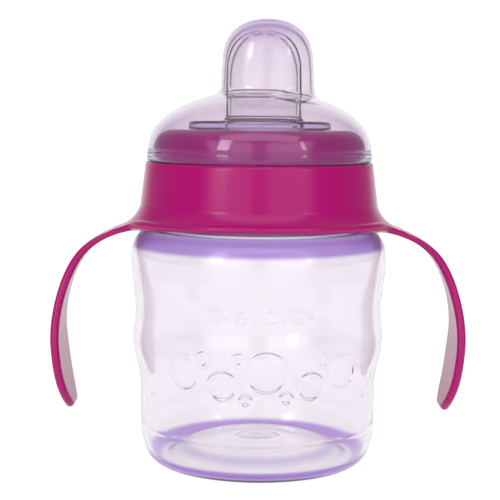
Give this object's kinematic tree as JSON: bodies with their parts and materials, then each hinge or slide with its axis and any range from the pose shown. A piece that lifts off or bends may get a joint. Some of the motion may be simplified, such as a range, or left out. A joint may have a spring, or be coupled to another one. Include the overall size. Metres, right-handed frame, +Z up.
{
  "type": "sippy cup",
  "caption": "Toddler's clear training cup with a waisted body, open side handles, screw ring, soft spout and push-fit clear cap.",
  "frame": {"origin": "middle of the flat ring the cup stands on", "axes": "+Z up along the cup's axis, X through the two handles, -Y towards the viewer"},
  "size_m": [0.1194, 0.0742, 0.128],
  "materials": {
    "tinted_cup_plastic": "clear polypropylene with a pale violet tint, slightly satin, stronger colour where it is thick",
    "magenta_plastic": "opaque moulded polypropylene, soft gloss",
    "clear_spout": "clear soft elastomer, faintly milky",
    "white_silicone": "satin milky silicone",
    "clear_lilac_plastic": "clear lilac polypropylene, high gloss"
  },
  "bodies": {
    "cup": {"cup_body": "tinted_cup_plastic"},
    "handles": {"handle_collar": "magenta_plastic"},
    "lid": {"spout": "clear_spout"},
    "ring": {"screw_ring": "magenta_plastic"},
    "valve": {"valve": "white_silicone"},
    "cap": {"cap": "clear_lilac_plastic"}
  },
  "joints": [
    {"name": "handles_turn", "type": "hinge", "parent": "cup", "child": "handles", "pos_m": [0, 0, 0.07], "axis": [0, 0, 1], "continuous": true},
    {"name": "lid_lift", "type": "slide", "parent": "cup", "child": "lid", "axis": [0, 0, 1], "range_m": [0, 0.026]},
    {"name": "ring_turn", "type": "hinge", "parent": "lid", "child": "ring", "pos_m": [0, 0, 0.09], "axis": [0, 0, 1], "range_deg": [0, 1018]},
    {"name": "valve_pull", "type": "slide", "parent": "lid", "child": "valve", "axis": [0, 0, -1], "range_m": [0, 0.012]},
    {"name": "cap_pull", "type": "slide", "parent": "lid", "child": "cap", "axis": [0, 0, 1], "range_m": [0, 0.045]}
  ],
  "couplings": [
    {"joint": "ring_turn", "follows": "lid_lift", "rad_per_m": 682.95}
  ]
}
